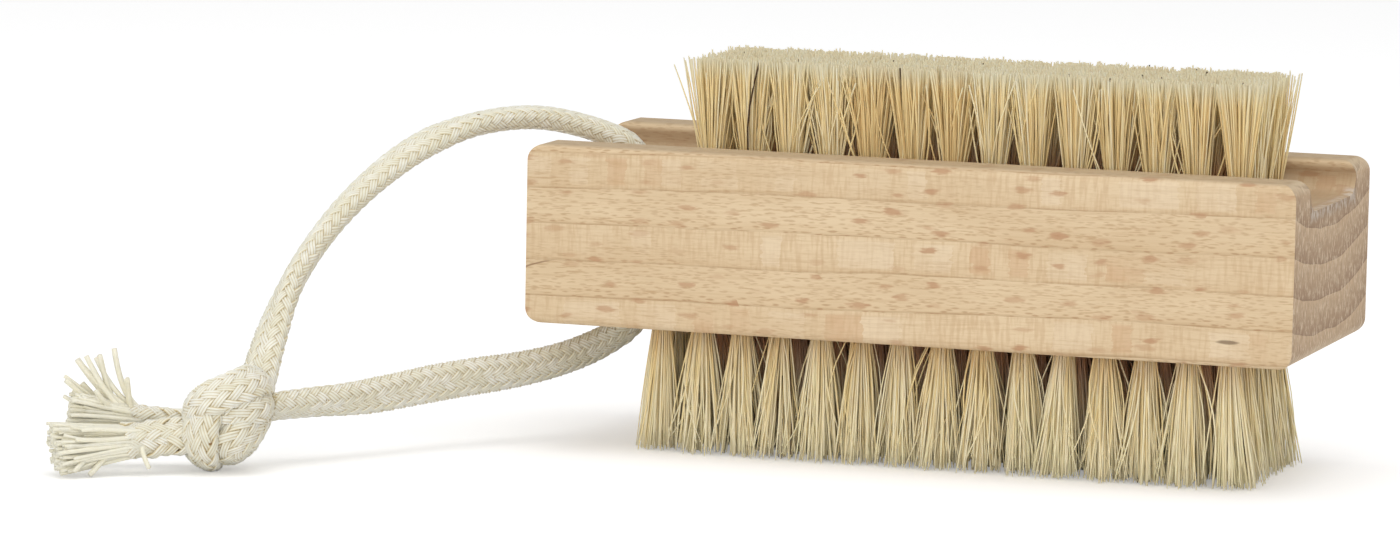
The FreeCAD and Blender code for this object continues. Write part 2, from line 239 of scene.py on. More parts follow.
# %% Lamps and world
# Place and width of each lamp in metres, and its power in watts
LAMPS = {
    "left_softbox": ((-0.85, -0.95, 0.42), 0.9, 2.2),
    "front_softbox": ((0.10, -1.20, 0.14), 0.8, 5.6),
    "top_softbox": ((0.05, -0.10, 1.25), 1.0, 6.2),
    "right_fill": ((1.10, -0.75, 0.45), 0.8, 1.8),
}
AIM = Vector((-0.01, 0, 0.025))
TENT_LIGHT = 0.5

for name, (spot, width, power) in LAMPS.items():
    lamp = bpy.data.lights.new(name, "AREA")
    lamp.size = width
    lamp.energy = power
    lamp_object = bpy.data.objects.new(name, lamp)
    lamp_object.location = spot
    lamp_object.rotation_euler = (AIM - Vector(spot)).to_track_quat("-Z", "Y").to_euler()
    bpy.context.scene.collection.objects.link(lamp_object)

world = bpy.data.worlds.new("light_tent")
world.use_nodes = True
tent = world.node_tree.nodes["Background"]
tent.inputs["Color"].default_value = (1, 1, 1, 1)
tent.inputs["Strength"].default_value = TENT_LIGHT
bpy.context.scene.world = world
bpy.context.scene.view_settings.view_transform = "Standard"
print("lamps", list(LAMPS))

# %% [markdown]
# ## Making meshes
# Bristles, yarns and the strands of a plait are all thin tubes along a line. Blender's curves could do
# it one by one, but Numpy can make thousands at once: rings of points round every line, joined by
# four-sided faces and closed at the ends.

# %% Tubes
def unit(vectors):
    return vectors / np.linalg.norm(vectors, axis=-1, keepdims=True)


def dot(a, b):
    return np.sum(a * b, axis=-1, keepdims=True)


def join_rings(tube_count, rings, around):
    """Faces of tubes whose points are listed tube by tube, ring by ring and then around."""
    counts = (np.arange(tube_count), np.arange(rings - 1), np.arange(around))
    tube, ring, spoke = np.meshgrid(*counts, indexing="ij")
    base = (tube * rings + ring) * around
    after = (spoke + 1) % around
    walls = np.stack([base + spoke, base + after, base + around + after, base + around + spoke], axis=-1)
    first = (np.arange(tube_count) * rings * around)[:, None]
    start_caps = first + np.arange(around)[::-1]
    end_caps = first + (rings - 1) * around + np.arange(around)
    return walls.reshape(-1, 4).tolist() + start_caps.tolist() + end_caps.tolist()


def tubes(lines, radii, reference, around):
    """Points and faces of a round tube along each line. lines is tube by ring by XYZ."""
    ways = unit(np.gradient(lines, axis=1))
    side = unit(reference - dot(np.broadcast_to(reference, ways.shape), ways) * ways)
    other = np.cross(ways, side)
    angles = np.linspace(0, 2 * np.pi, around, endpoint=False)
    spokes = np.cos(angles)[:, None] * side[:, :, None, :] + np.sin(angles)[:, None] * other[:, :, None, :]
    points = lines[:, :, None, :] + radii[:, :, None, None] * spokes
    return points.reshape(-1, 3), join_rings(lines.shape[0], lines.shape[1], around)


# %% New pieces
def new_piece(name, points, faces, body, slot, finish, **marks):
    """A smooth mesh that rides on a body. Each mark is a number for every point, which its finish reads."""
    mesh = bpy.data.meshes.new(name)
    mesh.from_pydata(points.tolist(), [], faces)
    mesh.polygons.foreach_set("use_smooth", np.ones(len(mesh.polygons), dtype=bool))
    for mark, values in marks.items():
        attribute = mesh.attributes.new(mark, "FLOAT", "POINT")
        attribute.data.foreach_set("value", np.ravel(values).astype(np.float32))
    mesh.materials.append(finish)
    piece = bpy.data.objects.new(name, mesh)
    bpy.context.scene.collection.objects.link(piece)
    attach(piece, body)
    print(name, len(mesh.vertices), "points")
    return piece


# %% [markdown]
# ## Cotton
# Undyed cotton is off-white, and it scatters light with no gloss. One mark gives each strand its own
# shade. Another, the lit share, is low in the creases between yarns and where a strand passes under
# others, and there a warm painted shade is laid.
# Tiny dots stand for bits of seed husk. Fine noise raises the surface like spun fibre.

# %% Cotton finish
cotton, place = new_finish("cotton")
tone = place.mark("tone")
depth = place.mark("depth")
patch = place.grain(0.35, 3.0)
spun = place.grain(5.0, 3.0, 0.6)
yarn_grain = place.grain(1.8, 2.0, 0.6)
husk = place.add("TexVoronoi", {"feature": "F1"}, {"Vector": place, "Scale": 0.30})
shade = (tone * 0.4 + patch * 0.3 + yarn_grain * 0.4).step(0.2, 0.9)
strand_color = shade.mix(tint(238, 234, 213), tint(252, 250, 239))
# Painted shade: a warm darker colour where the lit share is low, in the creases between yarns and under
# crossing strands
crease_shaded = depth.step(0.1, 0.85).mix(tint(206, 187, 142), strand_color)
spotted = husk.step(0.045, 0.08).mix(tint(150, 118, 74), crease_shaded)
set_surface(
    cotton,
    Base_Color=spotted,
    Roughness=0.95,
    Specular_IOR_Level=0.15,
    Sheen_Weight=0.15,
    Subsurface_Weight=0.2,
    Subsurface_Radius=(1.0, 0.92, 0.78),
    Subsurface_Scale=0.35 * MM,
    Normal=(spun + yarn_grain * 1.5).bump(0.10 * MM, 0.6),
)

# %% [markdown]
# ## The plait
# The cord is a tube plait, pressed a little flat: ten strands wind one way round it and ten the
# other, and each passes over two and under two. A flat band with a bump map would lose its scalloped
# edges, so every strand is built. Each one winds round an oval, moves out where it passes over and
# in where it passes under, and has three yarns side by side.

# %% A smooth line along a route
CURVE_STEPS = 24
LEAST_POINTS = 4


def smooth_line(name, route, step):
    """Evenly spaced points on the NURBS curve that has a route's places as its control points."""
    curve = bpy.data.curves.new(name, "CURVE")
    curve.dimensions = "3D"
    curve.resolution_u = CURVE_STEPS
    spline = curve.splines.new("NURBS")
    spline.points.add(len(route) - 1)
    for point, spot in zip(spline.points, route):
        point.co = (*spot, 1)
    spline.order_u = 3
    spline.use_endpoint_u = True
    holder = bpy.data.objects.new(name, curve)
    mesh = bpy.data.meshes.new_from_object(holder)
    line = np.array([vertex.co for vertex in mesh.vertices])
    bpy.data.meshes.remove(mesh)
    bpy.data.objects.remove(holder)
    bpy.data.curves.remove(curve)
    reach = np.concatenate(([0], np.cumsum(np.linalg.norm(np.diff(line, axis=0), axis=1))))
    stops = np.linspace(0, reach[-1], max(LEAST_POINTS, round(reach[-1] / step)))
    return np.stack([np.interp(stops, reach, line[:, axis]) for axis in range(3)], axis=1), reach[-1]


def carry(line, side, roll):
    """A side direction along a line, carried on without twist and then rolled by degrees."""
    ways = unit(np.gradient(line, axis=0))
    sides = []
    for way in ways:
        side = unit(side - dot(side, way) * way)
        sides.append(side)
    sides = np.array(sides)
    angle = np.radians(np.interp(np.linspace(0, 1, len(line)), *zip(*roll)))[:, None]
    return sides * np.cos(angle) + np.cross(ways, sides) * np.sin(angle)


# %% Strands of a plait
SEED = 20
STRANDS_EACH_WAY = 10
LAY = 16.5 * MM
STRAND_WIDTH, STRAND_DEPTH, STRAND_LIFT = 1.06 * MM, 0.50 * MM, 0.20 * MM
STRAND_WIDTH_SHARES = (0.92, 1.08)
LOOSE_WOBBLE = 0.15
UNDER_SHADE = 0.25
# Section of a strand, across and outwards: three yarns on the outside, flat inside
STRAND_SECTION = np.array([
    (-1.0, 0.0), (-0.67, 0.5), (-0.35, 0.16), (0.0, 0.55), (0.35, 0.16), (0.67, 0.5), (1.0, 0.0),
    (0.5, -0.5), (-0.5, -0.5),
])
# Lit share at each point of the section, for the painted shade: low in the valleys between yarns, at the
# strand's edges and on its hidden inside
SECTION_LIT_SHARE = np.array([0.2, 1.0, 0.4, 1.0, 0.4, 1.0, 0.2, 0.0, 0.0])
dice = np.random.default_rng(SEED)


def plait(line, sides, half_width, half_depth, looseness=0.0):
    """Points, faces and marks of a tube plait with an oval section along a line."""
    ways = unit(np.gradient(line, axis=0))
    deeps = np.cross(ways, sides)
    along = np.concatenate(([0], np.cumsum(np.linalg.norm(np.diff(line, axis=0), axis=1))))
    wide, deep = (np.broadcast_to(size, along.shape) for size in (half_width, half_depth))
    squash = (wide**2 - deep**2) / (wide**2 + deep**2) / 4
    crossing = 2 * STRANDS_EACH_WAY * along / LAY
    rings, tones, depths = [], [], []
    for way in (1, -1):
        for strand in range(STRANDS_EACH_WAY):
            even = 2 * np.pi * (way * along / LAY + strand / STRANDS_EACH_WAY)
            angle = even + squash * np.sin(2 * even)
            over = way * np.cos(np.pi / 2 * (2 * strand + way * crossing - 0.5))
            cos, sin = np.cos(angle)[:, None], np.sin(angle)[:, None]
            out = unit(cos / wide[:, None] * sides + sin / deep[:, None] * deeps)
            wobble = 1 + looseness * dice.normal(0, LOOSE_WOBBLE)
            middle = line + wobble * (wide[:, None] * cos * sides + deep[:, None] * sin * deeps)
            middle = middle + STRAND_LIFT * over[:, None] * out
            heading = unit(np.gradient(middle, axis=0))
            across = unit(np.cross(out, heading))
            outward = np.cross(heading, across)
            width = STRAND_WIDTH / 2 * dice.uniform(*STRAND_WIDTH_SHARES)
            ring = middle[:, None, :] + width * STRAND_SECTION[:, :1] * across[:, None, :]
            rings.append(ring + STRAND_DEPTH * STRAND_SECTION[:, 1:] * outward[:, None, :])
            tones.append(np.full(ring.shape[:2], dice.uniform()))
            # Painted shade: the lit share drops where the strand passes under others
            depths.append(SECTION_LIT_SHARE * (1 - UNDER_SHADE + UNDER_SHADE * over[:, None]))
    faces = join_rings(2 * STRANDS_EACH_WAY, len(line), len(STRAND_SECTION))
    return np.concatenate(rings).reshape(-1, 3), faces, np.concatenate(tones), np.concatenate(depths)


print("plait strands", 2 * STRANDS_EACH_WAY)

# %% [markdown]
# ## The free cord
# Both free stretches start inside the hole, round where the hole squeezes them, and open out to a flat
# oval on the way to the knot. The upper one arches over and down, and the lower one sags towards the
# floor. A simulation could lay them, but the places given follow the photograph. The roll turns the
# flat side as the real cord turns.

# %% Routes of the cord
# Places from inside the hole to the knot
UPPER_ROUTE = MM * np.array([
    (-39.0, 0.0, 28.5), (-39.0, 0.0, 35.4), (-46.5, -0.5, 38.4), (-53.5, -6.5, 40.1), (-61.0, -17.0, 38.1),
    (-67.5, -26.0, 31.5), (-71.5, -34.0, 23.5), (-72.9, -39.9, 15.8), (-72.6, -44.7, 10.0),
])
LOWER_ROUTE = MM * np.array([
    (-39.0, 0.0, 21.5), (-39.0, 0.0, 15.0), (-45.0, -1.5, 10.8), (-50.0, -10.5, 9.0), (-57.0, -21.5, 8.5),
    (-63.5, -32.5, 7.3), (-69.0, -41.0, 7.4), (-71.3, -44.8, 7.2),
])
# Share of the way along, and how far the flat side has rolled there in degrees
UPPER_ROLL = [
    (0.0, 0), (0.25, 15), (0.38, 22), (0.46, 5), (0.55, 12), (0.65, 26), (0.75, 45), (0.81, 46),
    (0.90, 14), (1.0, -5),
]
LOWER_ROLL = [
    (0.0, 0), (0.1, 14), (0.2, 29), (0.35, 33), (0.5, 44), (0.6, 47), (0.75, 36), (0.85, 14), (1.0, 2),
]
print("route places", len(UPPER_ROUTE), len(LOWER_ROUTE))

# %% Free stretches of the cord
PLAIT_STEP = 0.36 * MM
ROUND_HALF = 1.25 * MM
FLAT_HALF_WIDTH, FLAT_HALF_DEPTH = 2.05 * MM, 1.05 * MM
SQUEEZED_LENGTH = 15 * MM
ACROSS_BLOCK = np.array((0.0, 1.0, 0.0))


def cotton_piece(name, points, faces, tones, depths):
    """A cotton piece that swings with the loop."""
    return new_piece(name, points, faces, "hang_loop", "cotton_cord", cotton, tone=tones, depth=depths)


def cord_piece(name, route, roll, node):
    """One free stretch of the cord, with its line and its length."""
    line, length = smooth_line(name, route, PLAIT_STEP)
    sides = carry(line, ACROSS_BLOCK, roll)
    opened = np.clip(np.linspace(0, length, len(line)) / SQUEEZED_LENGTH, 0, 1)
    opened = opened**2 * (3 - 2 * opened)
    wide = ROUND_HALF + (FLAT_HALF_WIDTH - ROUND_HALF) * opened
    deep = ROUND_HALF + (FLAT_HALF_DEPTH - ROUND_HALF) * opened
    piece = cotton_piece(name, *plait(line, sides, wide, deep))
    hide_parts(node)
    print(name, "length", round(length, 4))
    return piece, line, length


upper_cord, upper_line, upper_length = cord_piece("upper_cord", UPPER_ROUTE, UPPER_ROLL, "cord_upper_strand")
lower_cord, lower_line, lower_length = cord_piece("lower_cord", LOWER_ROUTE, LOWER_ROLL, "cord_lower_strand")

# %% The cord inside its hole
hole_low, hole_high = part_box("cord_in_hole")
hole_middle = (hole_low + hole_high) / 2
hole_route = [(hole_middle.x, hole_middle.y, z) for z in (hole_low.z, hole_middle.z, hole_high.z)]
hole_line, _ = smooth_line("hole_cord", hole_route, PLAIT_STEP)
hole_sides = carry(hole_line, ACROSS_BLOCK, [(0, 0), (1, 0)])
hole_cord = cotton_piece("hole_cord", *plait(hole_line, hole_sides, ROUND_HALF, ROUND_HALF))
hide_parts("cord_in_hole")

# %% [markdown]
# ## The knot
# Both ends are tied together in one overhand knot. A sculpted lump would lose the plait, so each wrap is
# the same plait along a short route round the knot's middle, with its flat side against the knot. Two
# more wraps fill the inside. The routes are given as seen from the camera, in millimetres to the right,
# up and towards it, because that is the side that shows.

# %% Routes of the knot's wraps
KNOT_WRAPS = {
    "over": [
        (3.2, 4.4, -2.8), (3.4, 4.7, -0.4), (2.6, 4.3, 2.6), (0.4, 3.4, 4.4), (-2.2, 2.3, 4.4),
        (-3.8, 1.2, 2.8), (-4.2, 0.3, -0.4), (-3.4, -0.6, -3.2), (-0.6, -1.2, -4.4), (2.4, -1.0, -3.4),
        (3.6, 0.4, -1.2),
    ],
    "second": [
        (3.6, 2.6, -2.0), (3.8, 2.2, 0.8), (3.0, 1.5, 3.3), (1.1, 0.7, 4.0), (-1.2, -0.2, 2.9),
        (-3.0, -1.0, 1.4), (-3.8, -1.6, -0.4),
    ],
    "left_lobe": [
        (-1.4, 2.2, 0.6), (-2.2, 1.2, 3.2), (-2.9, -0.9, 4.6), (-3.1, -3.2, 4.2), (-3.0, -4.6, 1.6),
        (-2.6, -4.2, -1.8), (-1.8, -1.4, -3.4), (-1.0, 1.8, -2.8), (-0.8, 3.0, -0.6),
    ],
    "right_lobe": [
        (3.5, 0.8, -1.0), (3.4, -0.3, 1.6), (2.3, -1.7, 3.5), (0.6, -2.9, 3.7), (-0.3, -3.9, 2.2),
        (-0.4, -4.2, -0.4), (0.8, -3.4, -2.6), (2.2, -1.7, -3.2), (3.4, 0.8, -2.4),
    ],
    "core_back": [
        (3.2, 2.4, -1.6), (1.2, 2.4, -1.8), (-0.8, 1.8, -1.9), (-2.6, 0.8, -1.7), (-3.6, -0.4, -1.2),
    ],
    "core_front": [(3.0, 0.8, 0.2), (0.8, 1.2, 0.8), (-1.2, 0.8, 0.6), (-3.0, -0.2, 0.0)],
}
print("wraps", list(KNOT_WRAPS))

# %% Wraps of the knot
knot_low, knot_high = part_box("cord_knot")
KNOT_MIDDLE = np.array((knot_low + knot_high) / 2)
SEEN_AXES = np.array([view_right, view_up, to_camera])


def seen(places):
    """Turn millimetres right, up and towards the camera from the knot's middle into places in metres."""
    return KNOT_MIDDLE + MM * np.array(places) @ SEEN_AXES


def wrap(name, route):
    """One plaited wrap, flat against the knot."""
    line, _ = smooth_line(name, seen(route), PLAIT_STEP)
    ways = unit(np.gradient(line, axis=0))
    outward = line - KNOT_MIDDLE
    outward = unit(outward - dot(outward, ways) * ways)
    return plait(line, np.cross(outward, ways), FLAT_HALF_WIDTH, FLAT_HALF_DEPTH)


def gather(batches):
    """One set of points, faces, tones and lit shares from several."""
    starts = np.concatenate(([0], np.cumsum([len(batch[0]) for batch in batches])))
    faces = []
    for start, batch in zip(starts.tolist(), batches):
        faces += [[start + corner for corner in face] for face in batch[1]]
    tones, depths = (np.concatenate([np.ravel(batch[index]) for batch in batches]) for index in (2, 3))
    return np.concatenate([batch[0] for batch in batches]), faces, tones, depths


knot = cotton_piece("knot", *gather([wrap(name, route) for name, route in KNOT_WRAPS.items()]))
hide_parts("cord_knot")

# %% [markdown]
# ## Frayed ends
# Each cord end leaves the knot as a short plait and then opens into its yarns. Most of the yarns stay
# together and were cut off square. Some have come loose and stand up. Hair particles could fill the
# bundle, but here every yarn is a soft curve from the end of the plait to its own tip.

# %% Places of the frayed ends
# Place from the knot's middle in millimetres, way, broad side's way and length in millimetres
TAILS = {
    "frayed_end_1": ((-2.2, -2.5, -1.6), (-0.80, -0.60, -0.07), (-0.23, 0.63, 0.74), 18.5),
    "frayed_end_2": ((-3.2, 1.5, -1.8), (-0.90, -0.43, 0.11), (0.16, -0.50, 0.85), 17.0),
}
# Tips of loose yarns, to the right of the knot's middle, up and towards the camera, in millimetres
LOOSE_TIPS = {
    "frayed_end_1": [(-15.9, -6.6, 7.5), (-8.8, -5.6, 8.0), (-17.5, -6.0, 9.0)],
    "frayed_end_2": [
        (-13.6, 8.4, 0.2), (-15.2, 7.6, 1.4), (-15.7, 7.3, 0.8), (-16.9, 7.5, 1.0), (-18.1, 7.1, -0.6),
        (-18.0, 6.9, 0.2), (-19.5, 5.1, 0.4), (-19.3, 4.6, 1.2), (-11.9, 4.9, 1.6), (-12.1, 4.7, 1.0),
        (-17.6, 4.2, -1.2), (-15.6, 3.4, 2.4), (-18.6, 3.4, -0.4), (-19.6, 2.7, 0.6),
    ],
}
print("loose yarns", {name: len(tips) for name, tips in LOOSE_TIPS.items()})

# %% Yarns of a frayed end
GOLDEN_TURN = math.pi * (3 - math.sqrt(5))
BUNDLE_YARNS = 210
BUNDLE_HALF_WIDTH, BUNDLE_HALF_DEPTH = 3.3 * MM, 2.3 * MM
ROOT_STAGGER = 2.5 * MM
FAN_JITTER = 0.08
# How far yarns stop short of the cut in millimetres: the shape and the scale of their spread
CUT_SHAPE, CUT_SCALE = 1.2, 0.7
YARN_RADIUS = 0.28 * MM
YARN_RADIUS_SHARES, YARN_TIP_SHARE = (0.7, 1.25), 0.85
LOOSE_THICKNESS = 1.5
YARN_RINGS, YARN_SIDES = 14, 5
# Lit share of the frayed yarns, which gives them a little painted shade all over
YARN_LIT_SHARE = 0.7
DARKEST_YARN, PALEST_YARN = 0.0, 0.5
BEND_SHARE = 0.35
LEAN_JITTER, BEND_JITTER = 0.15 * MM, 0.35 * MM
FLOOR_GAP = 0.05 * MM
# A direction that no yarn runs along, from which the rings of a yarn start
YARN_REFERENCE = np.array((0.13, 0.21, 0.97))


def yarn_lines(roots, tips, way):
    """Soft curves that leave their roots along the plait and bend to their tips."""
    gap = np.linalg.norm(tips - roots, axis=1)[:, None]
    lean = roots + way * gap * BEND_SHARE + dice.normal(0, LEAN_JITTER, roots.shape)
    bend = tips - unit(tips - lean) * gap * BEND_SHARE + dice.normal(0, BEND_JITTER, roots.shape)
    t = np.linspace(0, 1, YARN_RINGS)[None, :, None]
    roots, lean, bend, tips = (spots[:, None, :] for spots in (roots, lean, bend, tips))
    return roots * (1 - t) ** 3 + lean * 3 * t * (1 - t) ** 2 + bend * 3 * t**2 * (1 - t) + tips * t**3


def yarn_bundle(start, opening, way, side, length, loose):
    """Points, faces, tones and lit shares of the yarns that were cut square, and of the loose ones."""
    other = np.cross(way, side)
    count = BUNDLE_YARNS + len(loose)
    number = dice.permutation(count) + 0.5
    radius, angle = np.sqrt(number / count), number * GOLDEN_TURN
    spread = np.stack([radius * np.cos(angle), radius * np.sin(angle)], axis=1)
    roots = opening - way * dice.uniform(0, ROOT_STAGGER, (count, 1))
    roots = roots + spread[:, :1] * FLAT_HALF_WIDTH * side + spread[:, 1:] * FLAT_HALF_DEPTH * other
    reach = MM * (length - dice.gamma(CUT_SHAPE, CUT_SCALE, (BUNDLE_YARNS, 1)))
    fan = spread[:BUNDLE_YARNS] + dice.normal(0, FAN_JITTER, (BUNDLE_YARNS, 2))
    cut = start + way * reach + fan[:, :1] * BUNDLE_HALF_WIDTH * side + fan[:, 1:] * BUNDLE_HALF_DEPTH * other
    lines = yarn_lines(roots, np.concatenate((cut, loose)), way)
    radii = YARN_RADIUS * dice.uniform(*YARN_RADIUS_SHARES, (count, 1))
    radii = radii * np.linspace(1, YARN_TIP_SHARE, YARN_RINGS)
    radii[BUNDLE_YARNS:] *= LOOSE_THICKNESS
    lines[:, :, 2] = np.maximum(lines[:, :, 2], radii + FLOOR_GAP)
    points, faces = tubes(lines, radii, YARN_REFERENCE, YARN_SIDES)
    tones = np.repeat(dice.uniform(DARKEST_YARN, PALEST_YARN, count), YARN_RINGS * YARN_SIDES)
    return points, faces, tones, np.full(len(points), YARN_LIT_SHARE)


# %% Frayed ends
PLAITED_LENGTH = 8.0 * MM
TAIL_OVERLAP = 1.5 * MM
TAIL_LOOSENESS = 0.4


def frayed_end(name, start, way, broad, length):
    """One cord end: its plaited tail, the bundle that was cut square, and the loose yarns."""
    way = unit(np.array(way))
    side = unit(np.array(broad) - np.dot(broad, way) * way)
    start = KNOT_MIDDLE + MM * np.array(start)
    opening = start + way * PLAITED_LENGTH
    tail_route = [start, (start + opening) / 2, opening + way * TAIL_OVERLAP]
    line, _ = smooth_line(name, tail_route, PLAIT_STEP)
    sides = np.tile(side, (len(line), 1))
    tail = plait(line, sides, FLAT_HALF_WIDTH, FLAT_HALF_DEPTH, TAIL_LOOSENESS)
    yarns = yarn_bundle(start, opening, way, side, length, seen(LOOSE_TIPS[name]))
    piece = cotton_piece(f"{name}_yarn", *gather([tail, yarns]))
    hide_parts(name)
    return piece


frayed = [frayed_end(name, *places) for name, places in TAILS.items()]

# %% [markdown]
# ## Cord facts
# The cord is limp and lies loose, and both stretches end at the knot. Its exits are the two mouths of
# the hole. The lengths of its two stretches are printed.

# %% Cord facts
print("cord lengths", round(upper_length, 4), round(lower_length, 4))

# %% [markdown]
# ## Beech
# The block is sawn from plain beech. Growth rings run along it, and their cut edges show as level bands
# on the long faces: pale early wood fades into darker late wood, which ends at a sharp line. Rays show as
# short brown flecks, and as silver grain where they are cut along. The ends are darker, with the rings as
# arcs. A flat pattern on each face would break at the edges. Here everything comes from the distance to
# the tree's middle, so bands and arcs meet as they do in a real block.

# %% Beech: rings, and the way that a face looks
# Sizes and places in millimetres
RING_WIDTH = 4.25
TREE_MIDDLE_Y, TREE_MIDDLE_Z = 0.0, 111.5
RING_SLOPE = 0.012

beech, place = new_finish("beech")
x, y, z = place.axes()
wander = place.stretch(0.02, 0.06, 0.06).grain(1.0, 1.0) - 0.5
ripple = place.stretch(0.12, 0.3, 0.3).grain(1.0, 2.0) - 0.5
tree_distance = ((y - TREE_MIDDLE_Y) ** 2 + (z - TREE_MIDDLE_Z) ** 2) ** 0.5
ring_distance = tree_distance + x * RING_SLOPE + wander * 1.6 + ripple * 0.35
rings = ring_distance / RING_WIDTH
ring_share = rings.maths("FRACT", rings)
ring_number = rings.maths("FLOOR", rings)
along_grain = place.add("CombineXYZ", (), {0: x, 1: ring_distance, 2: y * 0.2})
facing = place.add("NewGeometry", (), (), "Normal")
facing_x, facing_y, facing_z = (abs(part) for part in facing.axes())
print("ring width", RING_WIDTH, "mm")

# %% Beech: fibre, pores and silver grain
late = ring_share.step(0.55, 1.0)
ring_line = ring_share.step(0.92, 0.985)
fibre = along_grain.stretch(0.10, 3.4, 1.0).grain(1.0, 4.0, 0.6)
pores = along_grain.stretch(0.55, 5.2, 2.0).grain(1.0, 2.0, 0.5)
cloud = along_grain.stretch(0.05, 0.16, 0.5).grain(1.0, 3.0)

# Silver grain in every other ring: fine upright lines, and blocks as high as the ring
hatch = along_grain.stretch(2.2, 0.30, 1.0).grain(1.0, 2.0, 0.5)
weave = along_grain.stretch(0.9, 2.6, 1.0).grain(1.0, 1.0)
block_place = x * 0.42 + hatch * 0.4 + weave * 0.5 + ring_number * 7.3
block_number = block_place.maths("FLOOR", block_place)
block_luck = block_number.add("TexWhiteNoise", {"noise_dimensions": "1D"}, {"W": block_number})
block_height = ring_share.step(0.04, 0.16) * (1 - ring_share.step(0.80, 0.94))
silver_here = (1 - ring_number.maths("MODULO", ring_number, 2.0)) * cloud.step(0.25, 0.55)
wavy_here = 1 - silver_here * 0.75
print("beech so far", len(beech.node_tree.nodes), "nodes")

# %% Beech: rays as ragged flecks and short dark dashes
ray_cells = {"feature": "F1", "voronoi_dimensions": "2D"}
fleck_place = along_grain.stretch(0.19, 0.55, 1.0)
fleck_inputs = {"Vector": fleck_place, "Scale": 1.0}
fleck_gap = fleck_place.add("TexVoronoi", ray_cells, fleck_inputs)
fleck_chance = fleck_place.add("TexVoronoi", ray_cells, fleck_inputs, "Color")
fleck_luck, fleck_size, fleck_shade = fleck_chance.axes()
fleck_edge = fleck_gap + (pores - 0.5) * 0.35 + (weave - 0.5) * 0.25 + fleck_size * 0.10
fleck = (1 - fleck_edge.step(0.14, 0.30)) * fleck_luck.step(0.45, 0.65) * (0.35 + fleck_shade * 0.65)
dash_place = along_grain.stretch(0.48, 2.0, 1.0)
dash_gap = dash_place.add("TexVoronoi", ray_cells, {"Vector": dash_place, "Scale": 1.0})
dash = (1 - (dash_gap + (pores - 0.5) * 0.6).step(0.06, 0.28)) * (0.55 + late * 0.45) * wavy_here
print("beech so far", len(beech.node_tree.nodes), "nodes")

# %% Beech: colours of the long faces
pale_wood = cloud.step(0.25, 0.75).mix(tint(211, 186, 150), tint(221, 198, 163))
wood = (late * 0.22).mix(pale_wood, tint(196, 165, 125))
wood = (hatch.step(0.42, 0.66) * silver_here * 0.42).mix(wood, tint(194, 161, 122))
wood = (block_luck.step(0.80, 0.92) * block_height * silver_here * 0.50).mix(wood, tint(198, 157, 119))
pale_block = 1 - block_luck.step(0.15, 0.30)
wood = (pale_block * block_height * silver_here * 0.55).mix(wood, tint(226, 206, 176))
wood = (ring_line * (0.06 + fibre.step(0.35, 0.65) * 0.42)).mix(wood, tint(152, 116, 78))
wood = (fibre.step(0.44, 0.72) * 0.28).mix(wood, tint(182, 149, 109))
wood = (pores.step(0.55, 0.68) * wavy_here * 0.50).mix(wood, tint(174, 138, 98))
wood = (dash * 0.60).mix(wood, tint(166, 127, 88))
wood = (fleck * 0.80).mix(wood, tint(178, 133, 97))
print("beech so far", len(beech.node_tree.nodes), "nodes")

# %% Beech: a short dark mark low on the right of the front, and a fine crack from its left end
# Places along the block and up, and half sizes, in millimetres
MARK_X, MARK_Z = 40.2, 18.8
MARK_HALF_LENGTH, MARK_HALF_HEIGHT = 1.5, 0.25
CRACK_X, CRACK_Z, CRACK_SLOPE = -48.0, 22.5, 0.30
CRACK_FADE = (-46.5, -43.5)

on_front = facing_y.step(0.5, 0.9) * (1 - y.step(-2.0, 2.0))
mark_away = (abs(x - MARK_X) / MARK_HALF_LENGTH) ** 2 + (abs(z - MARK_Z) / MARK_HALF_HEIGHT) ** 2
mark_away = mark_away + (pores - 0.5) * 1.4
wood = ((1 - mark_away.step(0.3, 1.3)) * on_front * 0.70).mix(wood, tint(100, 78, 54))
crack_away = abs(z - CRACK_Z - (x - CRACK_X) * CRACK_SLOPE - ripple * 1.2)
crack = (1 - crack_away.step(0.04, 0.16)) * (1 - x.step(*CRACK_FADE))
wood = (crack * on_front * 0.75).mix(wood, tint(128, 94, 62))
print("beech so far", len(beech.node_tree.nodes), "nodes")

# %% Beech: ends, painted shade on the tops and in the channel, chips, and worn edges with a painted highlight
# Where each colour fades in or out, in millimetres: up, across or along the block
TOP_HEIGHTS = (30.0, 36.0)
CHANNEL_SIDE = (11.7, 12.2)
CHANNEL_BOTTOM, CHANNEL_TOP = (32.0, 33.5), (37.2, 37.9)
CHIP_END, CHIP_HEIGHTS = (46.4, 47.4), (34.2, 34.9)

end_pores = place.stretch(0.6, 1.6, 0.5).grain(1.6, 3.0, 0.6)
end_speck = place.stretch(0.5, 1.3, 0.5).grain(1.7, 3.0, 0.65)
end_wood = (ring_share * 0.85).mix(tint(206, 177, 143), tint(152, 121, 93))
end_wood = (ring_line * 0.25).mix(end_wood, tint(132, 103, 78))
end_wood = (end_pores.step(0.42, 0.66) * 0.40).mix(end_wood, tint(146, 115, 88))
end_wood = (end_speck.step(0.50, 0.62) * 0.70).mix(end_wood, tint(224, 203, 174))
wood = facing_x.step(0.45, 0.9).mix(wood, end_wood)

# Painted shade: the upward faces high on the block, the rail tops and the channel floor, are greyer and
# darker
shaded_top = facing_z.step(0.7, 0.98) * z.step(*TOP_HEIGHTS)
wood = (shaded_top * 0.60).mix(wood, tint(176, 154, 124))
# Painted shade in the channel: darker inside, its walls more than its floor
channel = (1 - abs(y).step(*CHANNEL_SIDE)) * z.step(*CHANNEL_BOTTOM) * (1 - z.step(*CHANNEL_TOP))
wood = (channel * (0.75 - facing_z * 0.62)).mix(wood, tint(148, 117, 84))
chipped = x.step(*CHIP_END) * (1 - z.step(*CHIP_HEIGHTS)) * channel * end_speck.step(0.40, 0.60)
wood = (chipped * 0.7).mix(wood, tint(214, 203, 190))
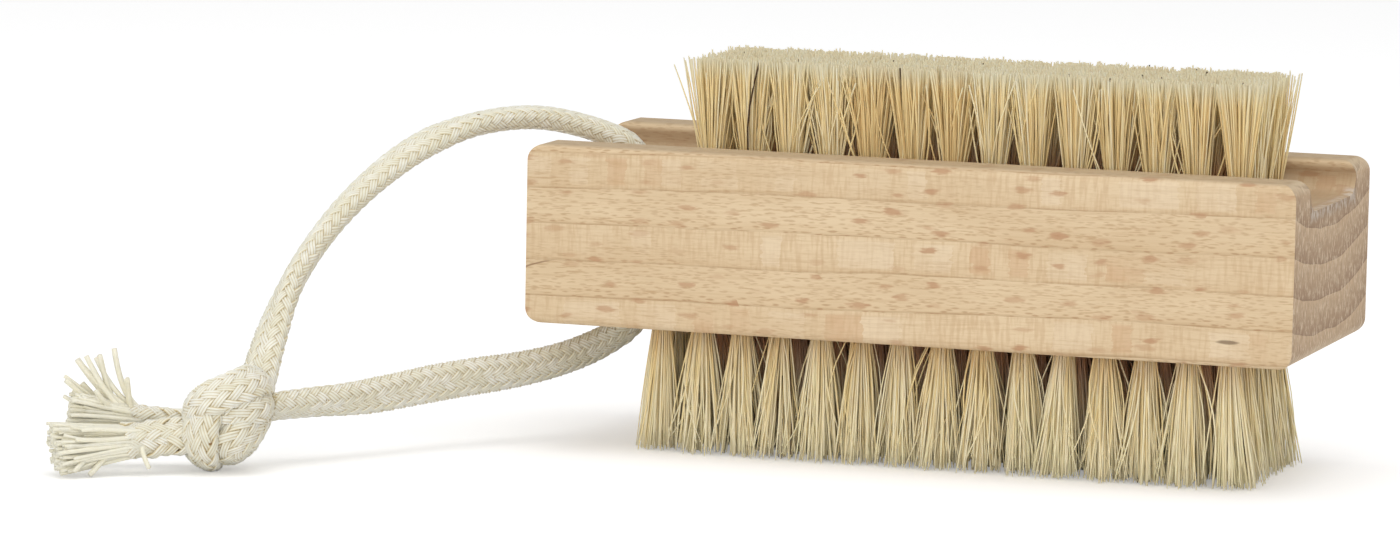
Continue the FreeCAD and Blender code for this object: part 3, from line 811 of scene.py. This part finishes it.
# Rounded edges are paler: partly wear, partly a painted highlight where the edges turn to the light
edge = (facing_x * facing_z + facing_y * facing_z * 0.2 + facing_x * facing_y) * 2
wear_and_highlight = edge.step(0.35, 0.9) * (0.35 + cloud * 0.8)
wood = (wear_and_highlight * 0.40).mix(wood, tint(222, 205, 176))

relief = fibre * 0.5 + pores * 0.5 - fleck * 0.25 - ring_line * 0.6 + end_pores * facing_x * 1.5
set_surface(
    beech,
    Base_Color=wood,
    Roughness=0.58 + fibre * 0.16 - fleck * 0.10,
    Specular_IOR_Level=0.30,
    Normal=relief.bump(0.06 * MM, 0.7),
)
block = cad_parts["handle_block"]
block.data.materials.clear()
block.data.materials.append(beech)

# %% [markdown]
# ## Wire anchors
# Inside each hole a short flat wire holds the folded tuft and bites into the wood. It can't be seen from
# outside, but the solid is there, so it gets drawn steel with fine lines along the wire.

# %% Anchor finish
drawn_steel, place = new_finish("drawn_steel")
streak = place.stretch(0.4, 6.0, 6.0).grain(1.0, 3.0)
set_surface(
    drawn_steel,
    Base_Color=streak.mix(tint(178, 176, 170), tint(206, 204, 198)),
    Metallic=1.0,
    Roughness=0.30 + streak * 0.25,
    Normal=streak.bump(0.01 * MM, 0.5),
)
anchors = [piece for name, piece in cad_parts.items() if "anchor" in name]
for anchor in anchors:
    anchor.data.materials.clear()
    anchor.data.materials.append(drawn_steel)
print("anchor rows", len(anchors))

# %% [markdown]
# ## Bristle
# Natural bristle runs from straw yellow to cream, with a paler tip and now and then a dark hair. Each
# bristle carries three marks: its own tone, how far along it a point is, and whether its tuft has others
# all round it, where the light that reaches the roots is brown and a brown painted shade is laid on them.
# The roots of every tuft are darker brown, partly their own colour and partly painted shade near the
# block. The tone of the long tufts rises towards their tips, a painted light against the floor's shadow.
# So the finish can shade it from root to tip without any picture.

# %% Bristle finish
bristle, place = new_finish("bristle")
tone = place.mark("tone")
along = place.mark("along")
inner = place.mark("inner")
mottle = place.stretch(1.2, 1.2, 0.35).grain(1.0, 2.0)
straw = tone.step(0.0, 0.5).mix(tint(238, 208, 149), tint(250, 229, 175))
straw = tone.step(0.45, 1.0).mix(straw, tint(254, 243, 208))
# Tones above 1 come only from the painted tip light: paler, brighter tips on the long tufts
straw = tone.step(1.0, 1.45).mix(straw, tint(255, 246, 204))
straw = (mottle.step(0.4, 0.7) * 0.20).mix(straw, tint(230, 203, 146))
# Darker brown towards the roots: partly the bristles' own colour, partly painted shade near the block
straw = ((1 - along.step(0.0, 0.36)) * 0.45).mix(straw, tint(170, 110, 66))
# Painted brown shade at the roots of inner tufts
straw = (inner * (1 - along.step(0.05, 0.70)) * 0.65).mix(straw, tint(200, 120, 92))
straw = (along.step(0.80, 1.0) * 0.60).mix(straw, tint(206, 202, 182))
straw = tone.step(1.6, 1.8).mix(straw, tint(70, 50, 34))
set_surface(
    bristle,
    Base_Color=straw,
    Roughness=0.40 + mottle * 0.2,
    Specular_IOR_Level=0.15,
    Subsurface_Weight=0.1,
    Subsurface_Radius=(1.0, 0.75, 0.45),
    Subsurface_Scale=0.4 * MM,
)

# %% [markdown]
# ## Tufts
# A tuft is a bunch of bristles folded in its hole, so it starts as a tight round bundle and opens towards
# the tips. Hair particles could do it, but meshes keep their shape in an export. Bristles are spread
# over the hole in a sunflower pattern, lean outwards, gather in small clumps, and a few stray. The long
# tufts below have ragged, pointed tips, and the short ones above are trimmed flat.

# %% Looks of the tufts
# spread, uneven: how many times wider the tips stand than the roots, and how much that varies
# jitter, lean, end_lean: how far tips move one by one, tuft by tuft, and at the row's two ends
# clumps, clumping: how many small bunches the tips form, and how closely
# strays, stray_reach: share of the bristles that stray, and how far
# ragged, long_share, least_short: how uneven the cut is, and which bristles may pass it
# flare, bow: how late a bristle opens, and how much it bends
# radius, tip_share: thinnest and thickest bristle, and the share that is left at the tip
# dark_share, paling, painted_tip_light: share of dark hairs, how far the tips grow pale, and a painted light
# that lifts the tone towards the tips against the floor's shadow
LONG_LOOK = {
    "spread": 2.70, "uneven": 0.24, "jitter": 0.40 * MM, "lean": 0.30 * MM,
    "end_lean": (-1.1 * MM, 1.0 * MM), "clumps": 12, "clumping": 0.60, "strays": 0.09,
    "stray_reach": 2.4 * MM, "ragged": 0.65 * MM, "long_share": 0.0, "least_short": 0.12 * MM,
    "flare": 1.05, "bow": 0.26 * MM, "radius": (0.065 * MM, 0.11 * MM), "tip_share": 0.65,
    "dark_share": 0.008, "paling": 0.78, "painted_tip_light": 0.6,
}
SHORT_LOOK = {
    "spread": 2.50, "uneven": 0.28, "jitter": 0.42 * MM, "lean": 0.22 * MM,
    "end_lean": (-0.2 * MM, -0.5 * MM), "clumps": 14, "clumping": 0.20, "strays": 0.07,
    "stray_reach": 3.2 * MM, "ragged": 0.20 * MM, "long_share": 0.01, "least_short": -0.5 * MM,
    "flare": 1.15, "bow": 0.20 * MM, "radius": (0.07 * MM, 0.12 * MM), "tip_share": 0.92,
    "dark_share": 0.003, "paling": 1.0, "painted_tip_light": 0.0,
}
print("looks", len(LONG_LOOK), "values each")

# %% Where bristles start and end
LONG_TUFTS, SHORT_TUFTS = 15, 14
WHOLE_TURN = 6.28
BRISTLES = 165
ROOT_RADIUS = 1.04 * MM
CLUMP_SPREAD = 0.55
STRAY_DEPTH_SHARE = 0.6
# Bristles at a row's ends stray less along the row, so that the row keeps its outline
ROW_END_SHARE = 0.4


def tuft_roots(node):
    """Middle of each tuft of a row on its hole's mouth, from the row's solids."""
    low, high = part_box(node)
    count = LONG_TUFTS if node.startswith("lower") else SHORT_TUFTS
    reach = (high.y - low.y) / 2
    middles = np.linspace(low.x + reach, high.x - reach, count)
    return np.stack([middles, np.full(count, low.y + reach)], axis=1)


def bristle_starts(tuft_count):
    """Place of each bristle from its hole's middle, in a sunflower pattern."""
    number = np.tile(np.arange(BRISTLES), tuft_count) + 0.5
    angle = number * GOLDEN_TURN + np.repeat(dice.uniform(0, WHOLE_TURN, tuft_count), BRISTLES)
    ray = np.stack([np.cos(angle), np.sin(angle)], axis=1)
    return ROOT_RADIUS * np.sqrt(number / BRISTLES)[:, None] * ray


def bristle_ends(start, tuft, row_end, look):
    """Place of each tip from its hole's middle, and which bristles stray."""
    count, tuft_count = len(start), tuft[-1] + 1
    spread = look["spread"] * (1 + dice.normal(0, look["uneven"], (count, 1)))
    end = start * spread + dice.normal(0, look["jitter"], (count, 2))
    lean = dice.normal(0, look["lean"], (tuft_count, 2))
    lean[[0, -1], 0] += look["end_lean"]
    end += lean[tuft]
    clumps = dice.normal(0, ROOT_RADIUS * look["spread"] * CLUMP_SPREAD, (tuft_count, look["clumps"], 2))
    gap = np.linalg.norm(end[:, None, :] - clumps[tuft], axis=2)
    nearest = clumps[tuft, gap.argmin(axis=1)]
    end += (nearest - end) * dice.uniform(0, look["clumping"], (count, 1))
    stray = dice.uniform(size=count) < look["strays"]
    astray = np.clip(dice.normal(0, 1, (stray.sum(), 2)), -1, 1)
    astray[row_end[stray], 0] *= ROW_END_SHARE
    end[stray] += astray * (look["stray_reach"], look["stray_reach"] * STRAY_DEPTH_SHARE)
    return end, stray


# %% How bristles run
BRISTLE_RINGS, BRISTLE_SIDES = 7, 4
BRISTLE_SHARES = np.linspace(0, 1, BRISTLE_RINGS)
ROOT_DEPTH = 1.5 * MM
STRAIGHT_SHARE = 0.06
STRAY_SHORTER = 2.0 * MM
LEAST_LONGER, MOST_LONGER = 0.1 * MM, 0.6 * MM
STRAY_BOW = 0.9 * MM


def bristle_heights(stray, mouth, tip, look):
    """Height of each ring of each bristle, from inside its hole to its tip."""
    count = len(stray)
    way = np.sign(tip - mouth)
    short = np.abs(dice.normal(0, look["ragged"], count)) + stray * dice.uniform(0, STRAY_SHORTER, count)
    longer = dice.uniform(size=count) < look["long_share"]
    short -= longer * dice.uniform(LEAST_LONGER, MOST_LONGER, count)
    top = tip - way * np.maximum(short, look["least_short"])
    bottom = mouth - way * ROOT_DEPTH
    return bottom + (top[:, None] - bottom) * BRISTLE_SHARES


def bristle_plan(start, end, stray, row_end, look):
    """Place of each ring seen from above, from its hole's middle. A bristle opens outwards and bows."""
    opened = np.clip((BRISTLE_SHARES - STRAIGHT_SHARE) / (1 - STRAIGHT_SHARE), 0, 1) ** look["flare"]
    bow = dice.normal(0, look["bow"], start.shape)
    bow += stray[:, None] * dice.normal(0, STRAY_BOW, start.shape)
    bow[row_end, 0] *= ROW_END_SHARE
    plan = start[:, None, :] + (end - start)[:, None, :] * opened[None, :, None]
    return plan + bow[:, None, :] * np.sin(np.pi * BRISTLE_SHARES)[None, :, None]


# %% Rows of tufts
PALEST_TONE, DARK_HAIR_TONE = 1.5, 2.0
BRISTLE_SHADE_SHAPE = (2.0, 1.8)
TUFT_SHADE_JITTER = 0.10
THINNING_STARTS = 0.7
# A direction that no bristle runs along, from which the rings of a bristle start
BRISTLE_REFERENCE = np.array((1.0, 0.02, 0.0))


def bristle_tones_with_painted_light(tuft, look):
    """Tone of each ring of each bristle, lifted towards the tip by the painted tip light."""
    shade = dice.beta(*BRISTLE_SHADE_SHAPE, len(tuft))
    shade = shade + dice.normal(0, TUFT_SHADE_JITTER, tuft[-1] + 1)[tuft]
    tones = np.minimum(np.clip(shade, 0, 1)[:, None] + look["painted_tip_light"] * BRISTLE_SHARES, PALEST_TONE)
    tones[dice.uniform(size=len(tuft)) < look["dark_share"]] = DARK_HAIR_TONE
    return tones


def tuft_row(node, mouth, tip, look, is_inner):
    """All the bristles of one row. A tuft with others all round it is an inner one."""
    roots = tuft_roots(node)
    tuft = np.repeat(np.arange(len(roots)), BRISTLES)
    row_end = np.isin(tuft, (0, len(roots) - 1))
    start = bristle_starts(len(roots))
    end, stray = bristle_ends(start, tuft, row_end, look)
    height = bristle_heights(stray, mouth, tip, look)
    plan = bristle_plan(start, end, stray, row_end, look) + roots[tuft][:, None, :]
    lines = np.concatenate((plan, height[:, :, None]), axis=2)
    thinning = np.interp(BRISTLE_SHARES, (0, THINNING_STARTS, 1), (1, 1, look["tip_share"]))
    radii = dice.uniform(*look["radius"], (len(tuft), 1)) * thinning
    points, faces = tubes(lines, radii, BRISTLE_REFERENCE, BRISTLE_SIDES)
    ring_marks = {
        "tone": bristle_tones_with_painted_light(tuft, look).ravel(),
        "along": np.tile(BRISTLE_SHARES * look["paling"], len(tuft)),
        "inner": np.repeat(is_inner & ~row_end, BRISTLE_RINGS),
    }
    marks = {mark: np.repeat(values, BRISTLE_SIDES) for mark, values in ring_marks.items()}
    piece = new_piece(f"{node}_bristles", points, faces, "brush", "bristle", bristle, **marks)
    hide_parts(node)


# Heights of the holes' mouths and of the tips
BLOCK_BOTTOM, LOWER_TIPS = 15.8 * MM, 0.0
CHANNEL_FLOOR, UPPER_TIPS = 33.8 * MM, 48.4 * MM
LONG_ROWS, SHORT_ROWS = 5, 4
for row in range(1, LONG_ROWS + 1):
    tuft_row(f"lower_tuft_row_{row}", BLOCK_BOTTOM, LOWER_TIPS, LONG_LOOK, 1 < row < LONG_ROWS)
for row in range(1, SHORT_ROWS + 1):
    tuft_row(f"upper_tuft_row_{row}", CHANNEL_FLOOR, UPPER_TIPS, SHORT_LOOK, 1 < row < SHORT_ROWS)
